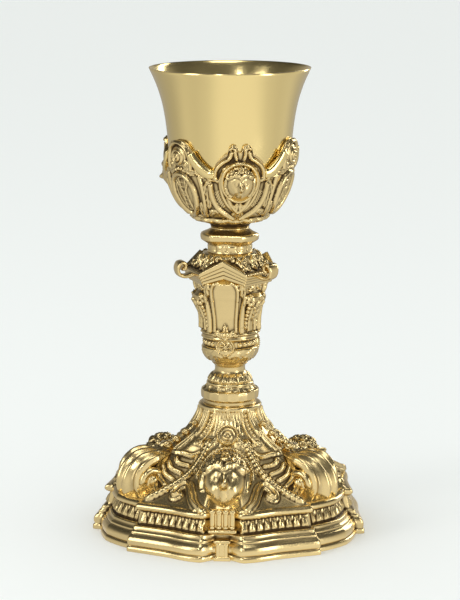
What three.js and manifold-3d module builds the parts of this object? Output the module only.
// A silver-gilt altar chalice: plain cup in a cast calyx, collar, architectural knop, spool and
// a three-lobed foot. Millimetres, +Z up, origin on the axis at the plane that the foot stands on.
// The foot's front, with its bracket and head, faces -Y, and everything repeats three times round.
import * as THREE from "three";
import { mergeVertices } from "three/addons/utils/BufferGeometryUtils.js";
import Module from "manifold-3d";

const wasm = await Module();
wasm.setup();

// Heights of the pieces, stacked from the ground up
const footHeight = 71.5;
const spoolHeight = 23;
const knopHeight = 63;
const collarHeight = 14;
const calyxFloor = 4.8; // from the calyx's seat to the cup's seat
const calyxRise = 46; // from the cup's seat to the calyx's highest point
const cupHeight = 83.7;
const plinthHeight = 25.4; // the stepped, moulded part of the foot

// Radii and widths
const rimRadius = 44.8;
const cupWall = 1.2;
const cupSeatRadius = 8;
const calyxGap = 0.4;
const calyxWall = 1.4;
const calyxSeatRadius = 11;
const calyxLeafRadius = 22; // where the leaves under the calyx turn up
const leafScallop = 1.2;
const medallionWidth = 16;
const medallionHeight = 23;
const crestWidth = 13;
const crestHeight = 14;
const frameThickness = 2.6;
const collarRadius = 16.4;
const drumRadius = 12.4;
const knopBodyRadius = 16;
const corniceReach = 23; // from the axis to each flat of the cornice
const gableRise = 7.8;
const gableHalfWidth = 14;
const earReach = 32.5;
const earRadius = 4.6;
const earWidth = 8;
const stripWidth = 2.6;
const rosetteWidth = 11.2;
const flangeRadius = 16.4;
const stemNeckRadius = 9.9;
const footNeckRadius = 16.7;
const footRadius = 77.8;
const footWall = 2;
const consoleHalfWidth = 12.3;
const consoleEyeRadius = 4.1;
const crocketLength = 8;
const headWidth = 24;
const faceWidth = 14.5;
const medalWidth = 15;
const bandThickness = 4.6; // of the scrolls beside each head
const garlandThickness = 4.2;
const bracketWidth = 16;
const friezeProud = 1.3; // how far the frieze's leaves stand out, and how far they sink in

// How the pieces are turned against the foot, degrees
const knopTurn = -6.5;
const calyxTurn = 12.5;
const faceLean = 8; // the calyx's faces follow the slope of the bowl
const headLean = 30; // the foot's heads lie back on the dome

// How fine the round forms are cut
const cupSides = 27;
const stemSides = 18;

const thirds = [0, 120, 240];
const corners = [60, 180, 300];

// Levels of the seats between the pieces
const spoolSeat = footHeight;
const knopSeat = spoolSeat + spoolHeight;
const collarSeat = knopSeat + knopHeight;
const calyxSeat = collarSeat + collarHeight;
const cupSeat = calyxSeat + calyxFloor;

// Small helpers on angles and outlines

const rad = THREE.MathUtils.degToRad;
const lerp = THREE.MathUtils.lerp;

function around(radius, angle, z) {
  return [radius * Math.sin(rad(angle)), -radius * Math.cos(rad(angle)), z];
}

// Angle from the nearest front, 0 to 60
function fromFront(angle) {
  const turn = (((angle + 60) % 120) + 120) % 120;
  return Math.abs(turn - 60);
}

// Straight-line interpolation in a list of [key, value]
function along(list, key) {
  let i = 1;
  while (i < list.length - 1 && key > list[i][0]) i++;
  const [k0, v0] = list[i - 1];
  const [k1, v1] = list[i];
  const t = THREE.MathUtils.clamp((key - k0) / (k1 - k0), 0, 1);
  return lerp(v0, v1, t);
}

// One third's angles, given for the half from a front to a corner, repeated round the axis
function repeatedAngles(half) {
  const mirrored = half.filter((a) => a > 0 && a < 60).map((a) => -a);
  const third = [...mirrored.reverse(), ...half];
  return thirds.flatMap((turn) => third.map((a) => a + turn));
}

function evenAngles(count) {
  return Array.from({ length: count }, (_, i) => (360 * i) / count);
}

// Closed geometry from vertices and faces
function geometryOf(points, faces) {
  const geometry = new THREE.BufferGeometry();
  geometry.setAttribute("position", new THREE.Float32BufferAttribute(points.flat(), 3));
  geometry.setIndex(faces.flat());
  geometry.computeVertexNormals();
  return geometry;
}

// Rows swept round the axis. A row is a function of the angle giving [radius, z], or a number,
// which is a pole on the axis. Without poles the last row closes on the first.
function sweep(rows, angles) {
  const points = [];
  const faces = [];
  const starts = rows.map((row) => {
    const start = points.length;
    if (typeof row === "number") points.push([0, 0, row]);
    else angles.forEach((angle) => points.push(around(row(angle)[0], angle, row(angle)[1])));
    return start;
  });
  const count = angles.length;
  const poled = rows.some((row) => typeof row === "number");
  const last = poled ? rows.length - 1 : rows.length;
  for (let i = 0; i < last; i++) {
    const [low, high] = [i, (i + 1) % rows.length];
    for (let j = 0; j < count; j++) {
      const k = (j + 1) % count;
      const [a, b] = [starts[low] + j, starts[low] + k];
      const [c, d] = [starts[high] + k, starts[high] + j];
      if (typeof rows[low] === "number") faces.push([starts[low], c, d]);
      else if (typeof rows[high] === "number") faces.push([a, b, starts[high]]);
      else faces.push([a, b, c], [a, c, d]);
    }
  }
  return geometryOf(points, faces);
}

// Loops of equally many points skinned in turn, with flat caps; flat gives a loop's 2-D outline
function loft(loops, flat) {
  const count = loops[0].length;
  const faces = [];
  for (let i = 0; i + 1 < loops.length; i++) {
    for (let j = 0; j < count; j++) {
      const k = (j + 1) % count;
      const [a, b] = [i * count + j, i * count + k];
      faces.push([a, b, b + count], [a, b + count, a + count]);
    }
  }
  const outline = flat.map(([x, y]) => new THREE.Vector2(x, y));
  const top = (loops.length - 1) * count;
  THREE.ShapeUtils.triangulateShape(outline, []).forEach((triangle) => {
    const [a, b, c] = triangle.sort((m, n) => m - n); // in the outline's own order
    faces.push([a, c, b], [top + a, top + b, top + c]);
  });
  const solid = geometryOf(loops.flat(), faces);
  return volumeOf(solid) < 0 ? turnedInsideOut(solid) : solid;
}

function volumeOf(geometry) {
  const position = geometry.getAttribute("position");
  const index = geometry.getIndex().array;
  const [a, b, c] = [new THREE.Vector3(), new THREE.Vector3(), new THREE.Vector3()];
  let volume = 0;
  for (let i = 0; i < index.length; i += 3) {
    a.fromBufferAttribute(position, index[i]);
    b.fromBufferAttribute(position, index[i + 1]);
    c.fromBufferAttribute(position, index[i + 2]);
    volume += a.dot(b.cross(c)) / 6;
  }
  return volume;
}

function turnedInsideOut(geometry) {
  const index = Array.from(geometry.getIndex().array);
  for (let i = 0; i < index.length; i += 3) [index[i + 1], index[i + 2]] = [index[i + 2], index[i + 1]];
  geometry.setIndex(index);
  return geometry;
}

function rotated(geometry, degrees) {
  return geometry.clone().rotateZ(rad(degrees));
}

// Joining and cutting closed geometries

function solidOf(geometry) {
  const bare = new THREE.BufferGeometry();
  bare.setAttribute("position", geometry.getAttribute("position"));
  bare.setIndex(geometry.getIndex());
  const merged = mergeVertices(bare, 1e-3);
  return new wasm.Manifold(
    new wasm.Mesh({
      numProp: 3,
      vertProperties: merged.getAttribute("position").array,
      triVerts: new Uint32Array(merged.getIndex().array),
    }),
  );
}

function joined(geometries) {
  return geometries.map(solidOf).reduce((all, one) => all.add(one));
}

function geometryFrom(solid) {
  const mesh = solid.getMesh();
  const geometry = new THREE.BufferGeometry();
  const points = new Float32Array(mesh.vertProperties);
  geometry.setAttribute("position", new THREE.BufferAttribute(points, 3));
  geometry.setIndex(new THREE.BufferAttribute(mesh.triVerts, 1));
  geometry.computeVertexNormals();
  return geometry;
}

// Forms used on more than one piece

// A bar of a few sides along a path of [radius, angle, z]
function bar(path, thickness, steps, sides) {
  const curve = new THREE.CatmullRomCurve3(
    path.map(([radius, angle, z]) => new THREE.Vector3(...around(radius, angle, z))),
  );
  const section = new THREE.Shape();
  for (let i = 0; i < sides; i++) {
    const turn = (2 * Math.PI * i) / sides;
    const [x, y] = [(thickness / 2) * Math.cos(turn), (thickness / 2) * Math.sin(turn)];
    if (i === 0) section.moveTo(x, y);
    else section.lineTo(x, y);
  }
  section.closePath();
  return new THREE.ExtrudeGeometry(section, { steps, extrudePath: curve, curveSegments: 1 });
}

// An oval ring that lies on a round surface, whose radius at height z is surface(z)
function ovalRing([angle, middle], width, height, thickness, surface) {
  const steps = 9;
  const section = [
    [-1, -0.3],
    [0, 1],
    [1, -0.3],
  ];
  const sides = section.length;
  const points = [];
  const faces = [];
  for (let i = 0; i < steps; i++) {
    const turn = (2 * Math.PI * i) / steps;
    for (let j = 0; j < sides; j++) {
      const [across, out] = section[j];
      const z = middle + ((height + across * thickness) / 2) * Math.sin(turn);
      const shift = ((width + across * thickness) / 2) * Math.cos(turn);
      const radius = surface(z) + (out * thickness) / 2;
      points.push(around(radius, angle + THREE.MathUtils.radToDeg(shift / radius), z));
      const [a, b] = [i * sides + j, i * sides + ((j + 1) % sides)];
      const [c, d] = [a, b].map((n) => (n + sides) % (steps * sides));
      faces.push([a, b, d], [a, d, c]);
    }
  }
  const ring = geometryOf(points, faces);
  return volumeOf(ring) < 0 ? turnedInsideOut(ring) : ring;
}

const headBack = -0.15; // where a head is cut flat behind, as a share of its half width

// A child's head of plain proportions, looking along -Y, its parts as shares of its half width
function childHead(width, across, down) {
  const head = mergeVertices(bareGeometry(new THREE.SphereGeometry(1, across, down)), 1e-4);
  const position = head.getAttribute("position");
  const bump = (x, y, z, cx, cy, size) =>
    z > 0 ? Math.exp(-((x - cx) ** 2 + (y - cy) ** 2) / (size * size)) : 0;
  for (let i = 0; i < position.count; i++) {
    const [x, y, z] = [position.getX(i), position.getY(i), position.getZ(i)];
    const hair = y > 0.42 || z < 0.2 ? 0.09 + 0.04 * Math.cos(9 * Math.atan2(x, z)) : 0;
    const face =
      0.3 * bump(x, y, z, 0, -0.12, 0.2) +
      0.1 * bump(x, y, z, 0.42, -0.3, 0.26) +
      0.1 * bump(x, y, z, -0.42, -0.3, 0.26) +
      0.12 * bump(x, y, z, 0, -0.72, 0.2) +
      0.05 * bump(x, y, z, 0, -0.46, 0.14) -
      0.1 * bump(x, y, z, 0.34, 0.1, 0.18) -
      0.1 * bump(x, y, z, -0.34, 0.1, 0.18);
    const grown = 1 + hair + face;
    position.setXYZ(i, 0.94 * x * grown, 1.08 * y * grown, Math.max(0.95 * z * grown, headBack));
  }
  head.scale(width / 2, width / 2, width / 2);
  return head.rotateX(Math.PI / 2);
}

function bareGeometry(geometry) {
  const bare = geometry.clone();
  bare.deleteAttribute("normal");
  bare.deleteAttribute("uv");
  return bare;
}

// A head set at [radius, angle, z], leaning back by tilt degrees
function placedHead(width, across, down, radius, angle, z, tilt) {
  const head = childHead(width, across, down);
  head.rotateX(rad(-tilt));
  head.translate(0, -radius, z);
  return rotated(head, angle);
}

// A lump: a coarse sphere of three sizes at [radius, angle, z], leaning back by tilt degrees
function lump(sizes, [radius, angle, z], tilt) {
  const ball = mergeVertices(bareGeometry(new THREE.SphereGeometry(0.5, 6, 3)), 1e-4);
  ball.scale(...sizes);
  ball.rotateX(rad(tilt));
  ball.translate(0, -radius, z);
  return rotated(ball, angle);
}

// Cup

const cupOutline = [
  [8, 0],
  [17, 1.8],
  [23.8, 6.4],
  [28.9, 14.8],
  [32.2, 25],
  [34, 38],
  [35.2, 51],
  [37.3, 63.5],
  [40.6, 74.3],
  [44.8, 83.7],
];

function cupShares() {
  const [reach, top] = cupOutline[cupOutline.length - 1];
  return cupOutline.map(([r, z]) => [r / reach, z / top]);
}

function cupSurface(z) {
  const outline = cupShares().map(([r, h]) => [cupSeat + h * cupHeight, r * rimRadius]);
  return along(outline, z);
}

function cupGeometry() {
  const outer = cupShares().map(([r, h]) => new THREE.Vector2(r * rimRadius, h * cupHeight));
  const inner = outer.map((point, i) => {
    const before = outer[Math.max(i - 1, 0)];
    const after = outer[Math.min(i + 1, outer.length - 1)];
    const way = after.clone().sub(before).normalize();
    return new THREE.Vector2(point.x - cupWall * way.y, point.y + cupWall * way.x);
  });
  inner[inner.length - 1].y = cupHeight;
  inner[0].set(cupSeatRadius, cupWall);
  outer[0].x = cupSeatRadius;
  const profile = [
    new THREE.Vector2(0, 0),
    ...outer,
    ...inner.reverse(),
    new THREE.Vector2(0, cupWall),
  ];
  return new THREE.LatheGeometry(profile, cupSides).rotateX(Math.PI / 2);
}

// Calyx

const calyxAngles = repeatedAngles([0, 4, 9, 22, 30, 41, 50.5, 60]);

// The calyx's upper edge as a share of its rise, by angle from a front
const calyxEdge = [
  [0, 0.887],
  [4, 0.965],
  [8, 0.913],
  [15, 0.809],
  [22, 0.691],
  [28, 0.663],
  [36, 0.728],
  [42, 0.848],
  [50, 0.97],
  [60, 1],
];

// Middles of the cartouches, medallions and crests, as shares of the rise
const cartoucheShare = 0.48;
const medallionShare = 0.36;
const crestShare = 0.8;

function calyxLevel(share) {
  return cupSeat + share * calyxRise;
}

function calyxOuter(z) {
  return cupSurface(z) + calyxGap + calyxWall;
}

// Below this level, at a corner of the cup's outline, the calyx is whole all round
function calyxBelt() {
  return cupSeat + cupShares()[4][1] * cupHeight;
}

function calyxRow(share) {
  return (angle) => {
    const edge = calyxLevel(along(calyxEdge, fromFront(angle)));
    const z = lerp(calyxBelt(), edge, share);
    return [calyxOuter(z), z];
  };
}

function calyxBand(share) {
  return () => [calyxOuter(calyxLevel(share)), calyxLevel(share)];
}

function calyxOrnaments(turn) {
  const [face, medal, crest] = [cartoucheShare, medallionShare, crestShare].map(calyxLevel);
  return [
    ovalRing([turn, face], faceWidth * 1.36, faceWidth * 1.68, frameThickness, calyxOuter),
    ovalRing([turn + 60, medal], medallionWidth, medallionHeight, frameThickness, calyxOuter),
    placedHead(faceWidth, 7, 6, calyxOuter(face) + 0.04 * faceWidth, turn, face, -faceLean),
    lump(
      [crestWidth, crestWidth * 0.37, crestHeight],
      [calyxOuter(crest) + crestWidth * 0.09, turn + 60, crest],
      faceLean / 2,
    ),
  ];
}

function calyxShell() {
  const scallop = (angle) => leafScallop * (0.5 + 0.5 * Math.cos(rad(9 * angle)));
  const bed = cupShares()
    .map(([reach, height]) => [reach * rimRadius + calyxGap, cupSeat + height * cupHeight])
    .filter(([, z]) => z > cupSeat && z < calyxBelt() - 1);
  const beside = (row) => (angle) => {
    const z = row(angle)[1];
    return [cupSurface(z) + calyxGap, z];
  };
  return sweep(
    [
      calyxSeat,
      () => [calyxSeatRadius, calyxSeat],
      () => [calyxSeatRadius * 1.03, lerp(calyxSeat, cupSeat, 0.45)],
      (angle) => [calyxLeafRadius * 0.86 + scallop(angle), lerp(calyxSeat, cupSeat, 0.85)],
      (angle) => [calyxLeafRadius + scallop(angle), calyxLevel(0.026)],
      calyxBand(0.14),
      calyxBand(0.32),
      ...[0, 0.6, 1].map(calyxRow),
      ...[1, 0.6, 0].map((share) => beside(calyxRow(share))),
      ...bed.reverse().map((point) => () => point),
      () => [cupSeatRadius + calyxGap, cupSeat],
      cupSeat,
    ],
    calyxAngles,
  );
}

function calyxGeometry() {
  return geometryFrom(joined([calyxShell(), ...thirds.flatMap(calyxOrnaments)]));
}

// Collar

const collarAngles = repeatedAngles([0, 20, 36, 44, 60]);

// A triangle with its corners cut off: radius by angle for a largest radius
function cutTriangle(angle, reach) {
  const delta = fromFront(angle);
  const corner = reach * (0.96 + 0.04 * Math.cos(rad(6 * (60 - delta))));
  return Math.min((0.8 * reach) / Math.cos(rad(delta)), corner);
}

function collarGeometry() {
  const level = (share) => collarSeat + share * collarHeight;
  const round = (radius, share) => () => [radius, level(share)];
  const plan = (factor, share) => (angle) => [
    lerp(collarRadius * factor, cutTriangle(angle, collarRadius) * factor, 0.8),
    level(share),
  ];
  return sweep(
    [
      level(0),
      round(drumRadius, 0),
      round(drumRadius * 0.98, 0.14),
      round(drumRadius * 0.94, 0.26),
      plan(0.86, 0.42),
      plan(1, 0.52),
      plan(1.01, 0.62),
      plan(0.95, 0.72),
      plan(0.8, 0.84),
      round(calyxSeatRadius * 0.85, 0.93),
      round(calyxSeatRadius * 0.95, 1),
      level(1),
    ],
    collarAngles,
  );
}

// Knop

const knopAngles = repeatedAngles([0, 15, 30, 45, 60]);

function knopLevel(share) {
  return knopSeat + share * knopHeight;
}

// Round plan with a flat on each front: flat and corner are radii
function panelPlan(flat, corner, share) {
  return (angle) => {
    const delta = fromFront(angle);
    const swell = THREE.MathUtils.smoothstep(delta, 26, 56);
    return [Math.min(flat / Math.cos(rad(delta)), lerp(flat * 1.06, corner, swell)), knopLevel(share)];
  };
}

// Six-sided plan of the cornice and roof: how far a row reaches, and how far it rises at each
// gable, as shares of the cornice's reach and the gable's rise
function cornicePlan(reach, share, lift) {
  return (angle) => {
    const delta = fromFront(angle);
    const fromFlat = delta > 30 ? 60 - delta : delta;
    const flat = corniceReach * reach;
    const aside = delta < 30 ? flat * Math.tan(rad(delta)) : gableHalfWidth;
    const gable = Math.max(0, 1 - aside / gableHalfWidth);
    return [flat / Math.cos(rad(fromFlat)), knopLevel(share) + lift * gableRise * gable];
  };
}

// A scrolled ear and the ridge that carries it out of the roof
function knopCorner(turn) {
  const middle = earReach - earRadius;
  const ear = new THREE.CylinderGeometry(earRadius, earRadius, earWidth, 8);
  ear.rotateZ(Math.PI / 2).translate(0, -middle, knopLevel(0.845));
  const ridgeBack = corniceReach * 0.73;
  const ridge = new THREE.BoxGeometry(earWidth * 0.75, middle - ridgeBack, earRadius * 0.65);
  ridge.translate(0, -(middle + ridgeBack) / 2, knopLevel(0.845));
  return [rotated(bareGeometry(ear), turn), rotated(bareGeometry(ridge), turn)];
}

// A bead strip on each side of a panel, and the shell rosette below it
function knopFront(turn) {
  const strip = (side) =>
    bar(
      [
        [knopBodyRadius * 0.97, turn + side * 27, knopLevel(0.31)],
        [knopBodyRadius * 0.99, turn + side * 27, knopLevel(0.45)],
        [knopBodyRadius * 1.12, turn + side * 29, knopLevel(0.62)],
        [knopBodyRadius * 1.26, turn + side * 29, knopLevel(0.77)],
      ],
      stripWidth,
      2,
      4,
    );
  const rosette = lump(
    [rosetteWidth, rosetteWidth * 0.54, rosetteWidth],
    [knopBodyRadius * 0.94, turn, knopLevel(0.176)],
    0,
  );
  return [strip(-1), strip(1), rosette];
}

function knopGeometry() {
  const round = (radius, share) => () => [radius, knopLevel(share)];
  const body = knopBodyRadius;
  const core = sweep(
    [
      knopLevel(0),
      round(stemNeckRadius, 0),
      round(stemNeckRadius * 1.1, 0.02),
      round(body * 0.85, 0.05),
      round(body, 0.146),
      round(body * 0.91, 0.167),
      round(body * 0.91, 0.224),
      round(body * 1.02, 0.24),
      round(body * 1.02, 0.292),
      panelPlan(body * 0.92, body * 0.98, 0.308),
      panelPlan(body * 0.92, body * 1.02, 0.42),
      panelPlan(body * 0.99, body * 1.14, 0.53),
      panelPlan(body * 1.06, body * 1.44, 0.61),
      panelPlan(body * 1.1, body * 1.28, 0.66),
      panelPlan(body * 1.18, body * 1.34, 0.746),
      cornicePlan(0.89, 0.752, 0.59),
      cornicePlan(0.96, 0.815, 0.77),
      cornicePlan(1, 0.85, 1),
      cornicePlan(0.93, 0.862, 0.9),
      cornicePlan(0.76, 0.93, 0.31),
      round(body, 0.99),
      round(body * 0.82, 1),
      knopLevel(1),
    ],
    knopAngles,
  );
  return geometryFrom(joined([core, ...corners.flatMap(knopCorner), ...thirds.flatMap(knopFront)]));
}

// Spool

function spoolGeometry() {
  const round = (radius, share) => () => [radius, spoolSeat + share * spoolHeight];
  return sweep(
    [
      spoolSeat,
      round(flangeRadius * 0.9, 0),
      round(flangeRadius * 0.9, 0.09),
      round(flangeRadius * 0.97, 0.14),
      round(flangeRadius, 0.2),
      round(flangeRadius * 0.99, 0.33),
      round(flangeRadius * 0.9, 0.42),
      round(flangeRadius * 0.83, 0.5),
      round(stemNeckRadius * 1.28, 0.57),
      round(stemNeckRadius * 1.12, 0.68),
      round(stemNeckRadius * 0.93, 0.76),
      round(stemNeckRadius * 0.85, 0.87),
      round(stemNeckRadius * 0.93, 0.94),
      round(stemNeckRadius, 1),
      knopSeat,
    ],
    evenAngles(stemSides),
  );
}

// Foot

// How far the foot's outline stands back, as a share of its full radius, by angle from a front
const footPlan = [
  [0, 0.082],
  [9, 0.008],
  [25, 0.041],
  [42.8, -0.015],
  [44.6, 0.039],
  [54.5, 0.014],
  [60, 0],
];

// The plinth's mouldings as shares of its height: how high, and how far in from the outline
const plinthOutline = [
  [0, 0.01],
  [0.12, 0.024],
  [0.34, 0.087],
  [0.37, 0.142],
  [0.53, 0.213],
  [0.56, 0.315],
  [0.86, 0.402],
  [0.88, 0.346],
  [1, 0.41],
];

// The dome: share of its height, and share of the way from the neck out to the plinth's top
const domeOutline = [
  [0.12, 0.77],
  [0.3, 0.47],
  [0.5, 0.235],
  [0.72, 0.07],
  [0.92, 0],
];

const footAngles = repeatedAngles(footPlan.map(([angle]) => angle));

function footEdge(angle) {
  return footRadius * (1 - along(footPlan, fromFront(angle)));
}

// How far the plinth stands in from the outline at a share of its height
function plinthInset(share) {
  return along(plinthOutline, share) * plinthHeight;
}

function domeLevel(share) {
  return lerp(plinthHeight, footHeight, share);
}

// The dome's radius at a height, along a direction
function domeRadius(angle, z) {
  const base = footEdge(angle) - plinthInset(1);
  const outline = [[0, 1], ...domeOutline].map(([h, share]) => [domeLevel(h), share]);
  return lerp(footNeckRadius, base, along(outline, z));
}

function domeRow(share, inward) {
  return (angle) => {
    const z = domeLevel(share);
    return [domeRadius(angle, z) - 0.6 * inward, z - inward];
  };
}

function footBody() {
  const plinthRow = ([share]) => (angle) => [
    footEdge(angle) - plinthInset(share),
    share * plinthHeight,
  ];
  return sweep(
    [
      0,
      ...plinthOutline.map(plinthRow),
      ...domeOutline.map(([share]) => domeRow(share, 0)),
      () => [footNeckRadius * 1.03, domeLevel(0.97)],
      () => [footNeckRadius * 0.96, footHeight],
      footHeight,
    ],
    footAngles,
  );
}

// The space under the foot, a wall's thickness inside its mouldings
function footHollow() {
  const ring = (share, inset) => (angle) => [
    footEdge(angle) - inset * plinthHeight - footWall,
    share * plinthHeight,
  ];
  return sweep(
    [
      -footWall,
      ring(-0.05, 0.047),
      ring(0.33, 0.1),
      ring(0.54, 0.32),
      ring(0.88, 0.417),
      ...[0.12, 0.3, 0.5].map((share) => domeRow(share, footWall)),
      () => [footNeckRadius - 1.5 * footWall, domeLevel(0.8)],
      domeLevel(0.8),
    ],
    repeatedAngles([0, 9.5, 25, 44.6, 60]),
  );
}

// The outline of the big scroll on each corner, in the plane through the axis, from the neck down
// to the plinth. Each point is the share of the way out from the neck to the foot's full radius,
// and the share of the foot's height.
const consoleRib = [
  [0.005, 0.958],
  [0.062, 0.874],
  [0.152, 0.794],
  [0.267, 0.727],
  [0.398, 0.688],
];
const consoleSide = [
  [0.545, 0.705],
  [0.676, 0.685],
  [0.754, 0.615],
  [0.768, 0.517],
  [0.715, 0.425],
  [0.643, 0.372],
];
const consoleMiddle = [
  [0.545, 0.708],
  [0.709, 0.683],
  [0.831, 0.594],
  [0.894, 0.497],
  [0.889, 0.414],
  [0.831, 0.344],
];
const consoleUnder = [
  [0.578, 0.336],
  [0.218, 0.587],
  [0.005, 0.811],
];
const consoleEye = [0.627, 0.48];

// Half its width, as a share of consoleHalfWidth, by share of the way out
const consoleWidths = [
  [0.005, 0.39],
  [0.218, 0.49],
  [0.398, 0.52],
  [0.496, 0.81],
  [0.578, 1],
];

function consolePoint([out, up], shift) {
  return [shift, -lerp(footNeckRadius, footRadius, out), up * footHeight];
}

// Across runs from -1 on one side to 1 on the other. The middle swells out past the sides, and a
// sunk outline draws in towards the eye.
function consoleLoop(across, sunk) {
  const scroll = Math.abs(across) < 1 ? consoleMiddle : consoleSide;
  const drawn = (points, draw) =>
    points.map(([out, up]) => [
      lerp(out, consoleEye[0], sunk ? draw : 0),
      lerp(up, consoleEye[1], sunk ? draw : 0),
    ]);
  return [...drawn(consoleRib, 0.02), ...drawn(scroll, 0.3), ...drawn(consoleUnder, 0.02)];
}

function consoleScroll(turn) {
  const slice = (across, sunk, width = across) =>
    consoleLoop(across, sunk).map((point) => {
      const half = consoleHalfWidth * along(consoleWidths, point[0]);
      return consolePoint(point, width * half);
    });
  const loops = [
    slice(-1, true, -0.74),
    slice(-1, true),
    ...[-1, -0.55, 0.55, 1].map((across) => slice(across, false)),
    slice(1, true),
    slice(1, true, 0.74),
  ];
  const scroll = loft(loops, consoleLoop(1, true));
  const width = 2 * consoleHalfWidth + 1;
  const eyes = new THREE.CylinderGeometry(consoleEyeRadius, consoleEyeRadius, width, 7);
  eyes.rotateZ(Math.PI / 2).translate(...consolePoint(consoleEye, 0));
  return [rotated(scroll, turn), rotated(bareGeometry(eyes), turn)];
}

// Leaves that climb the rib behind each scroll
function crocket(turn) {
  return [0, 1, 2].map((i) => {
    const out = 0.095 + 0.12 * i;
    const radius = lerp(footNeckRadius, footRadius, out);
    const z = along(consoleRib, out) * footHeight + 0.15 * crocketLength;
    const sizes = [crocketLength * 0.72, crocketLength, crocketLength * 0.56];
    return lump(sizes, [radius, turn, z], 38 - 8 * i);
  });
}

// The head in the middle of a front, and the medal, bands and garlands round it
function footFront(turn) {
  const onDome = (delta, share, side) => {
    const z = domeLevel(share);
    return [domeRadius(delta, z), turn + side * delta, z];
  };
  const bandPath = [
    [11.5, 0.011, 0.2],
    [16.5, 0.152, 0.2],
    [21.5, 0.26, -0.2],
    [26, 0.184, -0.65],
  ];
  const band = (side) => {
    const path = bandPath.map(([delta, share, out]) => [
      domeRadius(delta, plinthHeight) + out * bandThickness,
      turn + side * delta,
      domeLevel(share),
    ]);
    return bar(path, bandThickness, 4, 4);
  };
  const garland = (side) =>
    bar([onDome(33, 0.6, side), onDome(43, 0.38, side), onDome(40, 0.08, side)], garlandThickness, 3, 4);
  const [medalOut, , medalLevel] = onDome(0, 0.7, 1);
  const [headOut, , headLevel] = onDome(0, 0.27, 1);
  return [
    placedHead(headWidth, 9, 8, headOut + headWidth * 0.34, turn, headLevel, headLean),
    band(-1),
    band(1),
    garland(-1),
    garland(1),
    lump([medalWidth, medalWidth / 3, medalWidth], [medalOut, turn, medalLevel], 14),
  ];
}

// The bracket under each head: a ribbed block on the frieze and a narrower one down to the ground
function bracket(turn) {
  const half = bracketWidth / 2;
  const [back, valley, ridge] = [0.81, 0.966, 0.988].map((share) => share * footEdge(0));
  const ribbed = new THREE.Shape();
  ribbed.moveTo(-half, -back);
  [-1, -0.5, 0, 0.5].forEach((across) => {
    ribbed.lineTo(across * half, -valley);
    ribbed.lineTo((across + 0.12) * half, -ridge);
    ribbed.lineTo((across + 0.38) * half, -ridge);
  });
  ribbed.lineTo(half, -valley);
  ribbed.lineTo(half, -back);
  const rise = 0.5 * plinthHeight;
  const upper = new THREE.ExtrudeGeometry(ribbed, { depth: rise, bevelEnabled: false });
  upper.translate(0, 0, 0.58 * plinthHeight);
  const block = (width, from, to, low, high) => {
    const box = new THREE.BoxGeometry(width, to - from, high - low);
    return rotated(bareGeometry(box.translate(0, -(from + to) / 2, (low + high) / 2)), turn);
  };
  return [
    rotated(bareGeometry(upper), turn),
    block(bracketWidth * 0.53, valley - half, valley + 0.6 * half, 0, 0.6 * plinthHeight),
  ];
}

// One leaf of the frieze, a three-sided wedge that thickens downwards
function friezeLeaf(angle) {
  const edge = footEdge(angle);
  const half = 2;
  const ring = (share) => {
    const face = edge - plinthInset(share);
    return [
      around(face - friezeProud, angle - half, share * plinthHeight),
      around(face - friezeProud, angle + half, share * plinthHeight),
      around(face + friezeProud, angle, share * plinthHeight),
    ];
  };
  const plan = [
    [0, 0],
    [1, 0],
    [0.5, -1],
  ];
  return loft([ring(0.57), ring(0.85)], plan);
}

function frieze() {
  const onFront = Array.from({ length: 5 }, (_, i) => 12.5 + 6.3 * i);
  const onLobe = [52, 60, 68];
  return thirds.flatMap((turn) => [
    ...onFront.map((a) => friezeLeaf(turn + a)),
    ...onFront.map((a) => friezeLeaf(turn - a)),
    ...onLobe.map((a) => friezeLeaf(turn + a)),
  ]);
}

function footGeometry() {
  const outside = [
    footBody(),
    ...corners.flatMap(consoleScroll),
    ...corners.flatMap(crocket),
    ...thirds.flatMap(footFront),
    ...thirds.flatMap(bracket),
    ...frieze(),
  ];
  return geometryFrom(joined(outside).subtract(solidOf(footHollow())));
}

// Materials: the same gilding, brighter on the plain cup than in the chased work

function gilding(color, roughness) {
  return new THREE.MeshStandardMaterial({ color, roughness, metalness: 1 });
}

const polished = gilding("#d9bd6a", 0.16);
const chased = gilding("#c4a254", 0.28);

function piece(name, geometry, material, turn = 0) {
  const mesh = new THREE.Mesh(geometry, material);
  mesh.name = name;
  mesh.rotation.z = rad(turn);
  return mesh;
}

const chalice = new THREE.Group();
chalice.add(
  piece("foot", footGeometry(), chased),
  piece("spool", spoolGeometry(), chased),
  piece("knop", knopGeometry(), chased, knopTurn),
  piece("collar", collarGeometry(), polished, knopTurn),
  piece("calyx", calyxGeometry(), chased, calyxTurn),
);
const cup = piece("cup", cupGeometry(), polished);
cup.position.z = cupSeat;
chalice.add(cup);

export default chalice;
